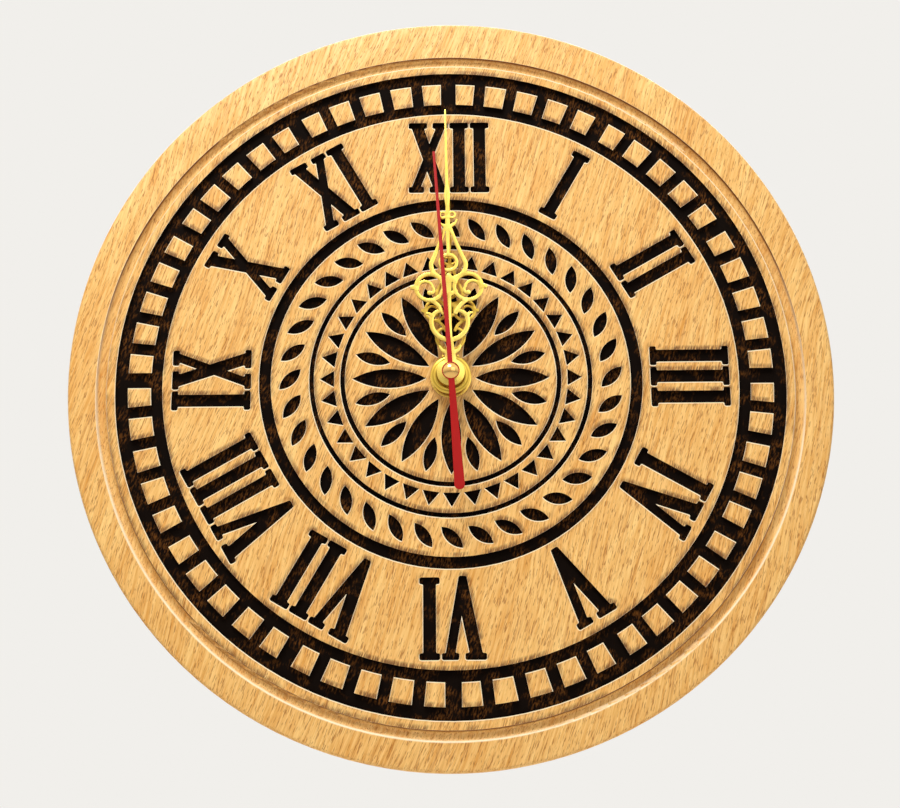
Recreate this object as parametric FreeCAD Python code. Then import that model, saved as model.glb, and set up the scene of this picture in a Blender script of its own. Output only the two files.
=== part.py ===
"""Round beech wall clock: carved dial, filigree hands and a battery movement let into the back.

Millimetres. The wall plane is y = 0, the dial faces -Y and twelve o'clock is +Z.
The origin is the hands' axis at the centre of the back face.
"""
import FreeCAD, Part
import math
import os

Vector = FreeCAD.Vector

# Wooden board
board_dia = 302.0
oval_extra = 4.0
outline_lift = 2.2
board_thick = 20.0
rim_band = 11.4
rim_round = 1.5
back_bevel = 1.0
cove_band = 4.2
cove_depth = 2.0
land_band = 3.4
carve_depth = 1.6
overrun = 1.0

# Minute track: a sunk ring with sixty blocks left standing
track_band = 18.5
block_margin = 5.0
block_length = 9.1
minute_bar = 4.6
hour_bar = 6.2
hours = 12
blocks_per_hour = 5

# Numerals, measured across the letters
numeral_margin = 3.8
numeral_height = 31.1
letter_gap = 0.67
serif_thick = 2.6
serif_round = 0.8
joint_round = 0.5
stem_width = 4.9
i_width = 7.75
v_width = 16.9
v_thick_serif = 8.1
v_thin_serif = 6.5
v_apex_width = 2.9
v_overshoot = 0.5
v_apex_shift = 0.3
thick_stroke = 5.0
thin_stroke = 3.7
x_width = 16.1
x_thick_serif = 7.6
x_thin_serif = 6.3

# Inner ring and the chip-carved rosette inside it: petals, a band of chips and a twisted border
ring_margin = 3.1
ring_band = 4.6
petal_count = 12
petal_margin = 1.6
petal_length = 29.0
petal_width = 7.8
small_petal_length = 14.0
small_petal_width = 4.8
groove_gap = 3.0
groove_width = 1.8
chip_count = 36
chip_gap = 2.4
chip_length = 5.6
chip_base = 6.6
twist_count = 36
twist_length = 11.6
twist_width = 4.6
twist_lean = 45.0

# Movement case, let into the back of the board
case_width = 56.0
case_depth = 15.0
case_wall = 1.5
case_front_wall = 1.5
case_corner = 3.0
bay_front_wall = 0.8
bay_divider = 1.2
pocket_clear = 0.5
back_inset = 0.5
cover_inset = 1.9
cover_thick = 1.2
cover_clear = 0.15
post_radius = 2.0
post_inset = 3.2
seal_thick = 0.5
seal_radius = 9.0

# Battery, one AA cell
cell_dia = 14.2
cell_length = 49.4
cell_nub_dia = 5.5
cell_nub_length = 1.1
cell_clear = 0.1
cell_edge_round = 0.6
contact_thick = 0.4
contact_width = 9.0
spring_reach = 1.9
spring_pad_dia = 6.0

# Arbors and pipes on the hands' axis
running_clear = 0.05
second_arbor_radius = 0.5
minute_arbor_radius = 1.6
hour_pipe_radius = 2.55
bush_radius = 3.95
bush_hole_clear = 0.3
washer_radius = 8.15
washer_thick = 0.5
nut_flats = 11.0
nut_sides = 6
nut_thick = 2.0
bush_stand = 3.0

# Heights of the hands in front of the dial face
hour_hand_stand = 4.2
minute_hand_stand = 7.9
second_hand_stand = 10.6
hand_thick = 0.7
second_hand_thick = 0.5
hour_pipe_proud = 0.7
minute_arbor_proud = 0.6
second_arbor_proud = 0.5
hour_collar_wall = 1.0
minute_collar_wall = 0.8

# Hands
minute_hand_reach = 111.5
minute_body = 69.0
minute_hub_radius = 5.45
hour_hand_reach = 82.0
hour_body = 52.0
hour_hub_radius = 7.8
hour_hub_ring = 6.0
ring_relief = 0.3
ring_relief_width = 0.8
needle_tip_width = 0.6
second_hand_reach = 92.0
second_tail_reach = 47.0
second_tip_width = 1.0
second_root_width = 1.9
second_tail_root = 2.2
second_tail_end = 4.0
second_hub_radius = 3.45
second_tube_radius = 1.2
second_tube_length = 1.2
cap_radius = 3.15
cap_height = 1.5
hour_hand_turn = -0.1
minute_hand_turn = -0.7
second_hand_turn = -3.8

# Gear train: modules, tooth counts and centre distances follow from them
wheel_thick = 0.8
layer_pitch = 1.3
front_gap = 0.3
arbor_radius = 0.4
knob_arbor_radius = 0.75
seconds_collar_wall = 0.5
pivot_depth = 0.8
pivot_clear = 0.04
seconds_teeth = 60
seconds_pinion_teeth = 8
third_teeth = 64
third_pinion_teeth = 8
centre_teeth = 60
intermediate_teeth = 60
intermediate_pinion_teeth = 12
rotor_teeth = 10
cannon_teeth = 12
motion_teeth = 36
motion_pinion_teeth = 10
hour_teeth = 40
third_distance = 9.0
intermediate_distance = 9.0
rotor_distance = 7.0
motion_distance = 9.6
third_angle = 30.0
intermediate_angle = 95.0
rotor_angle = 95.0
motion_angle = 150.0
tooth_backlash = 0.06
magnet_radius = 2.6
magnet_thick = 1.4
knob_radius = 6.0
knob_thick = 1.6
knob_socket_depth = 0.8
knob_gap = 0.2
knob_grip = 0.5
knob_grips = 18
clutch_radius = 2.6

# Motor and electronics
stator_length = 30.0
stator_height = 8.6
stator_thick = 1.0
stator_air = 0.5
core_width = 3.0
core_thick = 0.8
core_rise = 6.9
core_leg_start = 2.4
coil_length = 18.0
coil_radius = 2.1
bobbin_flange = 0.6
bobbin_flange_radius = 2.4
bobbin_wall = 0.15
card_width = 8.6
card_height = 24.0
card_thick = 0.8
card_depth = 6.6
card_gap = 0.3
card_low = -4.8
card_post_radius = 1.2
card_post_inset = 2.4
chip_radius = 2.2
chip_rise = 0.9
chip_offset = 6.0
crystal_radius = 1.0
crystal_length = 6.0

# Hanger plate, screwed flush over a routed recess
hanger_width = 46.0
hanger_height = 20.0
hanger_thick = 1.5
hanger_corner = 3.0
hanger_margin = 39.0
keyhole_radius = 4.75
slot_width = 5.0
slot_length = 9.0
keyhole_drop = 3.0
recess_width = 20.0
recess_above = 3.0
recess_below = 1.4
recess_depth = 8.0
screw_spread = 34.0
screw_head_radius = 3.2
screw_shank_radius = 1.5
screw_length = 12.0

# Shares: a rounded corner's limit on its side, a row set between the places of another,
# and the gear teeth in shares of the module and the pitch
side_share = 0.48
between_share = 0.5
straight_share = 1e-4
root_share = 1.30
wheel_tip_share = 0.80
pinion_tip_share = 0.60
wheel_point_share = 0.42
pinion_point_share = 0.55
wheel_part_share = 0.52
pinion_part_share = 0.40

# Distance under which two points are one
weld = 1e-6

# Worked out from the sizes above
rim_radius = board_dia / 2
cove_out_radius = rim_radius - rim_band
cove_in_radius = cove_out_radius - cove_band
track_radius = cove_in_radius - land_band
track_in_radius = track_radius - track_band
block_radius = track_radius - block_margin
block_in_radius = block_radius - block_length
numeral_radius = track_in_radius - numeral_margin
numeral_in_radius = numeral_radius - numeral_height
ring_radius = numeral_in_radius - ring_margin
art_radius = ring_radius - ring_band
petal_start = washer_radius + petal_margin
rosette_radius = petal_start + petal_length
inner_groove_radius = rosette_radius + groove_gap + groove_width
chip_start = inner_groove_radius + chip_gap
outer_groove_radius = chip_start + chip_length + chip_gap + groove_width
twist_radius = (outer_groove_radius + art_radius) / 2
face_y = -board_thick
carve_y = face_y + carve_depth
case_back_y = -back_inset
case_front_y = case_back_y - case_depth
pocket_y = case_front_y - seal_thick
cavity_y = case_front_y + case_front_wall
cover_back_y = case_back_y - cover_inset
cover_front_y = cover_back_y - cover_thick
half_case = case_width / 2
half_cavity = half_case - case_wall
bay_low_z = -half_cavity
bay_high_z = bay_low_z + cell_dia + 2 * cell_clear
cavity_low_z = bay_high_z + bay_divider
cell_y = case_front_y + bay_front_wall + cell_clear + cell_dia / 2
cell_z = (bay_low_z + bay_high_z) / 2
washer_y = face_y - washer_thick
nut_y = washer_y - nut_thick
bush_y = face_y - bush_stand
hour_hand_y = face_y - hour_hand_stand
minute_hand_y = face_y - minute_hand_stand
second_hand_y = face_y - second_hand_stand
hour_pipe_y = hour_hand_y - hand_thick - hour_pipe_proud
minute_arbor_y = minute_hand_y - hand_thick - minute_arbor_proud
second_arbor_y = second_hand_y - second_hand_thick - second_arbor_proud
hanger_rise = rim_radius - hanger_margin
card_front_y = cavity_y + card_depth
pivot_front_y = cavity_y - pivot_depth
pivot_back_y = cover_front_y + pivot_depth
knob_front_y = cover_back_y + knob_gap
bobbin_tube_radius = math.hypot(core_width, core_thick) / 2 + bobbin_wall
centre = (0.0, 0.0)


def polar(radius, degrees):
    """A point (x, z) on the dial plane, its angle measured from +X towards +Z."""
    return (radius * math.cos(math.radians(degrees)), radius * math.sin(math.radians(degrees)))


def shifted(point, radius, degrees):
    """A point moved by a polar step."""
    step = polar(radius, degrees)
    return (point[0] + step[0], point[1] + step[1])


third_axis = polar(third_distance, third_angle)
intermediate_axis = polar(intermediate_distance, intermediate_angle)
rotor_axis = shifted(intermediate_axis, rotor_distance, rotor_angle)
motion_axis = polar(motion_distance, motion_angle)


def layer_front(number):
    """Front face of a wheel layer, counted from one behind the case front."""
    return cavity_y + front_gap + (number - 1) * layer_pitch


hour_layer, motion_layer, centre_layer, third_layer, seconds_layer, rotor_layer = 1, 2, 3, 4, 5, 6
magnet_front_y = layer_front(rotor_layer) + layer_pitch
stator_front_y = magnet_front_y + (magnet_thick - stator_thick) / 2


def at(point, y):
    return Vector(point[0], y, point[1])


def line(first, second):
    return Part.makeLine(at(first, 0), at(second, 0))


def arc(first, middle, last):
    return Part.Arc(at(first, 0), at(middle, 0), at(last, 0)).toShape()


def circle(point, radius):
    return Part.Wire([Part.makeCircle(radius, at(point, 0), Vector(0, 1, 0))])


def polygon(points):
    closed = list(points) + [points[0]]
    return Part.makePolygon([at(point, 0) for point in closed])


def face(outer, holes=()):
    if holes:
        return Part.makeFace([outer] + list(holes), "Part::FaceMakerBullseye")
    return Part.Face(outer)


def slab(flat, front_y, back_y):
    """A flat dial-plane face made solid between two depths."""
    solid = flat.extrude(Vector(0, back_y - front_y, 0))
    solid.translate(Vector(0, front_y, 0))
    return solid


def disc(point, radius, front_y, back_y):
    return Part.makeCylinder(radius, back_y - front_y, at(point, front_y), Vector(0, 1, 0))


def tube(point, radius, bore, front_y, back_y):
    return disc(point, radius, front_y, back_y).cut(disc(point, bore, front_y - overrun, back_y + overrun))


def block(low, high):
    size = [high[i] - low[i] for i in range(3)]
    return Part.makeBox(size[0], size[1], size[2], Vector(*low))


def turned(shape, degrees, point=centre):
    """A copy turned clockwise as the dial is read, about an axis through a point."""
    copy = shape.copy()
    copy.rotate(at(point, 0), Vector(0, 1, 0), degrees)
    return copy


def fused(solids):
    if len(solids) == 1:
        return solids[0]
    return solids[0].multiFuse(list(solids[1:])).removeSplitter()


def rounded(points, radii):
    """A closed outline of straight sides whose corners are tangent arcs of the given radii."""
    edges = []
    count = len(points)
    starts = []
    ends = []
    for i in range(count):
        corner = points[i]
        before = points[i - 1]
        after = points[(i + 1) % count]
        to_before = math.atan2(before[1] - corner[1], before[0] - corner[0])
        to_after = math.atan2(after[1] - corner[1], after[0] - corner[0])
        half_turn = abs((to_after - to_before + math.pi) % (2 * math.pi) - math.pi) / 2
        reach = min(math.dist(corner, before), math.dist(corner, after)) * side_share
        setback = min(radii[i] / math.tan(half_turn), reach)
        if setback <= 0:
            starts.append(corner)
            ends.append(corner)
            continue
        first = (corner[0] + setback * math.cos(to_before), corner[1] + setback * math.sin(to_before))
        last = (corner[0] + setback * math.cos(to_after), corner[1] + setback * math.sin(to_after))
        radius = setback * math.tan(half_turn)
        bisector = math.atan2(first[1] + last[1] - 2 * corner[1], first[0] + last[0] - 2 * corner[0])
        depth = radius / math.sin(half_turn) - radius
        middle = (corner[0] + depth * math.cos(bisector), corner[1] + depth * math.sin(bisector))
        edges.append((i, arc(first, middle, last)))
        starts.append(first)
        ends.append(last)
    arcs = dict(edges)
    loop = []
    for i in range(count):
        if i in arcs:
            loop.append(arcs[i])
        following = starts[(i + 1) % count]
        if math.dist(ends[i], following) > weld:
            loop.append(line(ends[i], following))
    return Part.Wire(Part.__sortEdges__(loop))


def rounded_box(low_x, low_z, high_x, high_z, radius):
    corners = [(low_x, low_z), (high_x, low_z), (high_x, high_z), (low_x, high_z)]
    return rounded(corners, [radius] * 4)


def band(first, middle, last, width_first, width_last):
    """A tapering strip that follows the arc through three points, with round ends."""
    rims = [[], []]
    widths = (width_first, (width_first + width_last) / 2, width_last)
    through = (first, middle, last)
    to_middle = (middle[0] - first[0], middle[1] - first[1])
    to_last = (last[0] - first[0], last[1] - first[1])
    turn = to_middle[0] * to_last[1] - to_middle[1] * to_last[0]
    straight = abs(turn) < straight_share * math.dist(first, last) ** 2
    if not straight:
        hub_point = arc(first, middle, last).Curve.Center
        hub = (hub_point.x, hub_point.z)
    for point, width in zip(through, widths):
        if straight:
            along = math.atan2(last[1] - first[1], last[0] - first[0])
            out = (-math.sin(along), math.cos(along))
        else:
            away = math.dist(point, hub)
            out = ((point[0] - hub[0]) / away, (point[1] - hub[1]) / away)
        for side, rim in zip((1, -1), rims):
            rim.append((point[0] + side * out[0] * width / 2, point[1] + side * out[1] * width / 2))
    if straight:
        strip = polygon([rims[0][0], rims[0][2], rims[1][2], rims[1][0]])
    else:
        ends = [line(rims[0][2], rims[1][2]), line(rims[1][0], rims[0][0])]
        strip = Part.Wire([arc(*rims[0]), ends[0], arc(*rims[1][::-1]), ends[1]])
    faces = [face(strip)]
    for point, width in ((first, width_first), (last, width_last)):
        faces.append(face(circle(point, width / 2)))
    return faces


def petal(root, degrees, length, width):
    """A pointed petal between two arcs, from its root along an angle."""
    tip = shifted(root, length, degrees)
    middle = shifted(root, length / 2, degrees)
    left = shifted(middle, width / 2, degrees + 90)
    right = shifted(middle, width / 2, degrees - 90)
    return face(Part.Wire([arc(root, left, tip), arc(tip, right, root)]))


def mirrored(point):
    return (-point[0], point[1])


def scaled(point, size):
    return (point[0] * size, point[1] * size)


def slab_union(faces, front_y, back_y):
    return fused([slab(flat, front_y, back_y) for flat in faces])


# Numerals. A letter's outline has x to the reader's right and z outwards from its inner end.
def letter_i():
    half = i_width / 2
    stem = stem_width / 2
    right = [(half, 0.0), (half, serif_thick), (stem, serif_thick),
             (stem, numeral_height - serif_thick), (half, numeral_height - serif_thick),
             (half, numeral_height)]
    points = right + [mirrored(point) for point in reversed(right)]
    serif = [serif_round, serif_round, joint_round]
    return points, serif + serif[::-1] + serif + serif[::-1]


def letter_v():
    half = v_width / 2
    low = numeral_height - serif_thick
    thick_out = -half + (v_thick_serif - thick_stroke) / 2
    thick_in = thick_out + thick_stroke
    thin_out = half - (v_thin_serif - thin_stroke) / 2
    thin_in = thin_out - thin_stroke
    apex = (thick_in + thin_in) / 2 - v_apex_shift
    bottom = -v_overshoot
    apex_left = apex - v_apex_width / 2
    apex_right = apex + v_apex_width / 2
    thick_slope = (apex_left - thick_out) / (low - bottom)
    thin_slope = (thin_out - apex_right) / (low - bottom)
    crotch = low - (thin_in - thick_in) / (thick_slope + thin_slope)
    crotch_x = thick_in + thick_slope * (low - crotch)
    points = [(apex_right, bottom), (thin_out, low), (half, low), (half, numeral_height),
              (half - v_thin_serif, numeral_height), (half - v_thin_serif, low), (thin_in, low),
              (crotch_x, crotch), (thick_in, low), (-half + v_thick_serif, low),
              (-half + v_thick_serif, numeral_height), (-half, numeral_height), (-half, low),
              (thick_out, low), (apex_left, bottom)]
    r, j = serif_round, joint_round
    return points, [r, j, r, r, r, r, j, 0.0, j, r, r, r, r, j, r]


def letter_x():
    half = x_width / 2
    high = numeral_height - serif_thick
    thick_side = (x_thick_serif - thick_stroke) / 2
    thin_side = (x_thin_serif - thin_stroke) / 2
    # The thick stroke runs from outer left to inner right, the thin one from outer right to inner left.
    thick_top = (-half + thick_side, -half + thick_side + thick_stroke)
    thick_foot = (half - thick_side - thick_stroke, half - thick_side)
    thin_top = (half - thin_side - thin_stroke, half - thin_side)
    thin_foot = (-half + thin_side, -half + thin_side + thin_stroke)
    run = high - serif_thick

    def crossing(thick_pair, thin_pair):
        """Where one edge of the thick stroke meets one edge of the thin one."""
        thick_x, thick_end = thick_pair
        thin_x, thin_end = thin_pair
        share = (thin_x - thick_x) / ((thick_end - thick_x) - (thin_end - thin_x))
        return (thick_x + share * (thick_end - thick_x), high - share * run)

    top = crossing((thick_top[1], thick_foot[1]), (thin_top[0], thin_foot[0]))
    right = crossing((thick_top[1], thick_foot[1]), (thin_top[1], thin_foot[1]))
    low = crossing((thick_top[0], thick_foot[0]), (thin_top[1], thin_foot[1]))
    left = crossing((thick_top[0], thick_foot[0]), (thin_top[0], thin_foot[0]))
    points = [(thick_foot[1], serif_thick), right, (thin_top[1], high), (half, high), (half, numeral_height),
              (half - x_thin_serif, numeral_height), (half - x_thin_serif, high), (thin_top[0], high), top,
              (thick_top[1], high), (-half + x_thick_serif, high), (-half + x_thick_serif, numeral_height),
              (-half, numeral_height), (-half, high), (thick_top[0], high), left,
              (thin_foot[0], serif_thick), (-half, serif_thick), (-half, 0.0), (-half + x_thin_serif, 0.0),
              (-half + x_thin_serif, serif_thick), (thin_foot[1], serif_thick), low,
              (thick_foot[0], serif_thick), (half - x_thick_serif, serif_thick), (half - x_thick_serif, 0.0),
              (half, 0.0), (half, serif_thick)]
    r, j = serif_round, joint_round
    corner = [j, 0.0, j, r, r, r, r, j, 0.0, j, r, r, r, r]
    return points, corner + corner


letters = {"I": (letter_i, i_width), "V": (letter_v, v_width), "X": (letter_x, x_width)}
numerals = ("XII", "I", "II", "III", "IV", "V", "VI", "VII", "VIII", "IX", "X", "XI")


def numeral_cutters():
    cutters = []
    for hour, text in enumerate(numerals):
        total = sum(letters[letter][1] for letter in text) + letter_gap * (len(text) - 1)
        start = -total / 2
        for letter in text:
            make, width = letters[letter]
            points, radii = make()
            offset = start + width / 2
            placed = [(x + offset, z + numeral_in_radius) for x, z in points]
            cutter = slab(face(rounded(placed, radii)), face_y - overrun, carve_y)
            cutters.append(turned(cutter, hour * 360 / hours))
            start += width + letter_gap
    return cutters


def track_cutter():
    """The sunk ring, with the blocks between its sixty bars left standing."""
    islands = []
    total = hours * blocks_per_hour
    pitch = 360 / total
    for i in range(total):
        sides = []
        for line_number in (i, i + 1):
            wide = hour_bar if line_number % blocks_per_hour == 0 else minute_bar
            sides.append((90 - line_number * pitch, wide / 2))
        corners = []
        for (angle, half_bar), sense in zip(sides, (-1, 1)):
            for radius in (block_in_radius, block_radius):
                corners.append(polar(radius, angle + sense * math.degrees(math.asin(half_bar / radius))))
        middle = 90 - (i + 0.5) * pitch
        inner_first, outer_first, inner_last, outer_last = corners
        islands.append(Part.Wire([
            line(inner_first, outer_first),
            arc(outer_first, polar(block_radius, middle), outer_last),
            line(outer_last, inner_last),
            arc(inner_last, polar(block_in_radius, middle), inner_first)]))
    flat = face(circle(centre, track_radius), [circle(centre, track_in_radius)] + islands)
    return slab(flat, face_y - overrun, carve_y)


def ring_cutter():
    flat = face(circle(centre, ring_radius), [circle(centre, art_radius)])
    return slab(flat, face_y - overrun, carve_y)


def round_the_dial(count, offset=0.0):
    """Angles of a row of like cuts, the first at twelve o'clock or a share of the pitch after it."""
    return [90 - (i + offset) * 360 / count for i in range(count)]


def groove(radius):
    return face(circle(centre, radius), [circle(centre, radius - groove_width)])


def chip(angle):
    """A triangular chip with its base inwards and its point outwards."""
    root = polar(chip_start, angle)
    corners = [shifted(root, chip_base / 2, angle + side * 90) for side in (-1, 1)]
    return face(polygon([corners[0], polar(chip_start + chip_length, angle), corners[1]]))


def twist(angle):
    """One strand of the twisted border, leaning across it."""
    along = angle + twist_lean
    start = shifted(polar(twist_radius, angle), -twist_length / 2, along)
    return petal(start, along, twist_length, twist_width)


def rosette_cutters():
    flats = [groove(inner_groove_radius), groove(outer_groove_radius)]
    for angle in round_the_dial(petal_count):
        flats.append(petal(polar(petal_start, angle), angle, petal_length, petal_width))
    for angle in round_the_dial(petal_count, between_share):
        root = polar(rosette_radius - small_petal_length, angle)
        flats.append(petal(root, angle, small_petal_length, small_petal_width))
    flats.extend(chip(angle) for angle in round_the_dial(chip_count))
    flats.extend(twist(angle) for angle in round_the_dial(twist_count))
    return [slab(flat, face_y - overrun, carve_y) for flat in flats]


def board_blank():
    """The board: a little taller than wide, its front edge rounded and its back edge bevelled."""
    half_wide = board_dia / 2
    half_tall = half_wide + oval_extra / 2
    middle = Vector(0, -board_thick, outline_lift)
    top = middle + Vector(0, 0, half_tall)
    side = middle + Vector(half_wide, 0, 0)
    outline = Part.Wire([Part.Ellipse(top, side, middle).toShape()])
    solid = Part.Face(outline).extrude(Vector(0, board_thick, 0))
    front = [edge for edge in solid.Edges if edge.Closed and edge.BoundBox.YMax < -board_thick / 2]
    solid = solid.makeFillet(rim_round, front)
    back = [edge for edge in solid.Edges if edge.Closed and edge.BoundBox.YMin > -board_thick / 2]
    return solid.makeChamfer(back_bevel, back)


def cove_cutter():
    """The round-bottomed groove between the rim and the land round the minute track."""
    half = cove_band / 2
    middle = (cove_out_radius + cove_in_radius) / 2
    reach = (half ** 2 + cove_depth ** 2) / (2 * cove_depth)
    bottom = face_y + cove_depth
    return Part.makeTorus(middle, reach, Vector(0, bottom - reach, 0), Vector(0, 1, 0))


def keyhole_low():
    """Centre of the keyhole's round entry."""
    return (0.0, hanger_rise - keyhole_drop)


def hanger_outline(grow):
    return rounded_box(-hanger_width / 2 - grow, hanger_rise - hanger_height / 2 - grow,
                       hanger_width / 2 + grow, hanger_rise + hanger_height / 2 + grow, hanger_corner)


def screw_places():
    return [(side * screw_spread / 2, hanger_rise) for side in (-1, 1)]


def dial_board():
    blank = board_blank()
    cutters = [cove_cutter(), track_cutter(), ring_cutter()]
    cutters += numeral_cutters() + rosette_cutters()
    reach = half_case + pocket_clear
    cutters.append(slab(face(rounded_box(-reach, -reach, reach, reach, case_corner)), pocket_y, overrun))
    cutters.append(disc(centre, bush_radius + bush_hole_clear, face_y - overrun, overrun))
    cutters.append(slab(face(hanger_outline(cover_clear)), -hanger_thick, overrun))
    entry = keyhole_low()
    top = entry[1] + slot_length + recess_above
    recess = rounded_box(-recess_width / 2, entry[1] - keyhole_radius - recess_below, recess_width / 2, top,
                         hanger_corner)
    cutters.append(slab(face(recess), -hanger_thick - recess_depth, overrun))
    for place in screw_places():
        cutters.append(disc(place, screw_shank_radius, -screw_length, overrun))
    return blank.cut(cutters)


# Movement case and its cover
def cavity_outline(shrink):
    return rounded_box(-half_cavity + shrink, cavity_low_z + shrink, half_cavity - shrink,
                       half_cavity - shrink, case_corner - case_wall)


def cover_posts():
    spots = []
    for side in (-1, 1):
        for z in (cavity_low_z + post_inset, half_cavity - post_inset):
            spots.append((side * (half_cavity - post_inset), z))
    return spots


def card_posts():
    middle = half_cavity - card_gap - card_width / 2
    return [(middle, card_low + card_post_inset), (middle, card_low + card_height - card_post_inset)]


def stator_posts():
    """Two posts under the ends of the stator plate."""
    return [(side * (stator_length / 2 - card_post_radius), rotor_axis[1]) for side in (-1, 1)]


def movement_case():
    outer = slab(face(rounded_box(-half_case, -half_case, half_case, half_case, case_corner)),
                 case_front_y, case_back_y)
    cavity = slab(face(cavity_outline(0)), cavity_y, overrun)
    bay = block((-half_cavity, case_front_y + bay_front_wall, bay_low_z), (half_cavity, overrun, bay_high_z))
    shell = outer.cut([cavity, bay, disc(centre, bush_radius, case_front_y - overrun, cavity_y + overrun)])
    posts = [disc(place, post_radius, cavity_y, cover_front_y) for place in cover_posts()]
    posts += [disc(place, card_post_radius, cavity_y, card_front_y) for place in card_posts()]
    posts += [disc(place, card_post_radius, cavity_y, stator_front_y) for place in stator_posts()]
    shell = fused([shell] + posts)
    sockets = []
    for place, radius in pivots():
        if place != centre:
            sockets.append(disc(place, radius + pivot_clear, cavity_y - pivot_depth - pivot_clear, cavity_y))
    return shell.cut(sockets)


def pivots():
    """Every arbor that runs in the case and the cover, with its radius."""
    return [(third_axis, arbor_radius), (intermediate_axis, arbor_radius), (rotor_axis, arbor_radius),
            (motion_axis, knob_arbor_radius), (centre, second_arbor_radius)]


def movement_cover():
    plate = slab(face(cavity_outline(cover_clear)), cover_front_y, cover_back_y)
    holes = [disc(place, radius + pivot_clear, cover_front_y - overrun, cover_back_y + overrun)
             for place, radius in pivots()]
    return plate.cut(holes)


def threaded_bush():
    return tube(centre, bush_radius, hour_pipe_radius + running_clear, bush_y, cavity_y)


def rubber_seal():
    return tube(centre, seal_radius, bush_radius, pocket_y, case_front_y)


def brass_washer():
    return tube(centre, washer_radius, bush_radius, washer_y, face_y)


def hex_nut():
    corner = nut_flats / 2 / math.cos(math.pi / nut_sides)
    flat = face(polygon([polar(corner, 360 / nut_sides * i) for i in range(nut_sides)]))
    return slab(flat, nut_y, washer_y).cut(disc(centre, bush_radius, nut_y - overrun, washer_y + overrun))


# Gears
def gear_flat(point, teeth, module, phase, pinion=False):
    """A toothed outline whose tooth centres start at the phase angle, degrees from +X."""
    pitch_radius = teeth * module / 2
    tip = pitch_radius + module * (pinion_tip_share if pinion else wheel_tip_share)
    root = pitch_radius - module * root_share
    part = pinion_part_share if pinion else wheel_part_share
    thick = math.pi * module * part - tooth_backlash / 2
    half_pitch = math.degrees(thick / 2 / pitch_radius)
    half_tip = half_pitch * (pinion_point_share if pinion else wheel_point_share)
    half_root = half_pitch
    points = []
    for i in range(teeth):
        angle = phase + 360 / teeth * i
        for radius, offset in ((root, -half_root), (pitch_radius, -half_pitch), (tip, -half_tip),
                               (tip, half_tip), (pitch_radius, half_pitch), (root, half_root)):
            points.append(shifted(point, radius, angle + offset))
    return face(polygon(points))


def meshed_phase(phase, teeth, mate_teeth, line_angle):
    """Phase of the mate whose gap faces a tooth of the first gear on the line of centres."""
    pitch = 360 / teeth
    offset = (phase - line_angle + pitch / 2) % pitch - pitch / 2
    return line_angle + 180 - offset * teeth / mate_teeth + 180 / mate_teeth


def module_of(distance, teeth, mate_teeth):
    return 2 * distance / (teeth + mate_teeth)


def gear(point, teeth, module, phase, layer, pinion=False):
    front = layer_front(layer)
    return slab(gear_flat(point, teeth, module, phase, pinion), front, front + wheel_thick)


def arbor(point, radius=arbor_radius):
    return disc(point, radius, pivot_front_y, pivot_back_y)


def second_wheel():
    train = module_of(third_distance, third_teeth, seconds_pinion_teeth)
    motor = module_of(intermediate_distance, seconds_teeth, intermediate_pinion_teeth)
    pinion = gear(centre, seconds_pinion_teeth, train, 0, third_layer, pinion=True)
    wheel = gear(centre, seconds_teeth, motor, 0, seconds_layer)
    collar = disc(centre, second_arbor_radius + seconds_collar_wall,
                  layer_front(third_layer) + wheel_thick, layer_front(seconds_layer))
    long_arbor = disc(centre, second_arbor_radius, second_arbor_y, pivot_back_y)
    return fused([wheel, pinion, collar, long_arbor])


def third_wheel():
    train = module_of(third_distance, third_teeth, seconds_pinion_teeth)
    slow = module_of(third_distance, centre_teeth, third_pinion_teeth)
    phase = meshed_phase(0, seconds_pinion_teeth, third_teeth, third_angle)
    wheel = gear(third_axis, third_teeth, train, phase, third_layer)
    pinion = gear(third_axis, third_pinion_teeth, slow, 0, centre_layer, pinion=True)
    return fused([wheel, pinion, arbor(third_axis)])


def centre_wheel():
    slow = module_of(third_distance, centre_teeth, third_pinion_teeth)
    phase = meshed_phase(0, third_pinion_teeth, centre_teeth, third_angle + 180)
    wheel = gear(centre, centre_teeth, slow, phase, centre_layer)
    bore = disc(centre, minute_arbor_radius + running_clear, cavity_y, cover_front_y)
    return wheel.cut(bore)


def intermediate_wheel():
    motor = module_of(intermediate_distance, seconds_teeth, intermediate_pinion_teeth)
    fast = module_of(rotor_distance, intermediate_teeth, rotor_teeth)
    phase = meshed_phase(0, seconds_teeth, intermediate_pinion_teeth, intermediate_angle)
    pinion = gear(intermediate_axis, intermediate_pinion_teeth, motor, phase, seconds_layer, pinion=True)
    wheel = gear(intermediate_axis, intermediate_teeth, fast, 0, rotor_layer)
    return fused([wheel, pinion, arbor(intermediate_axis)])


def rotor_pinion():
    fast = module_of(rotor_distance, intermediate_teeth, rotor_teeth)
    phase = meshed_phase(0, intermediate_teeth, rotor_teeth, rotor_angle)
    pinion = gear(rotor_axis, rotor_teeth, fast, phase, rotor_layer, pinion=True)
    return fused([pinion, arbor(rotor_axis)])


def rotor_magnet():
    return tube(rotor_axis, magnet_radius, arbor_radius, magnet_front_y, magnet_front_y + magnet_thick)


def minute_arbor():
    """The pipe that carries the minute hand, with the cannon pinion near its back end."""
    work = module_of(motion_distance, motion_teeth, cannon_teeth)
    pinion = gear(centre, cannon_teeth, work, 0, motion_layer, pinion=True)
    pipe = disc(centre, minute_arbor_radius, minute_arbor_y, layer_front(centre_layer) + wheel_thick)
    bore = disc(centre, second_arbor_radius + running_clear, minute_arbor_y - overrun, cover_back_y)
    return fused([pinion, pipe]).cut(bore)


def clutch_spring():
    """Dished washer pressed between the cannon pinion and the centre wheel."""
    front = layer_front(motion_layer) + wheel_thick
    return tube(centre, clutch_radius, minute_arbor_radius, front, layer_front(centre_layer))


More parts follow.
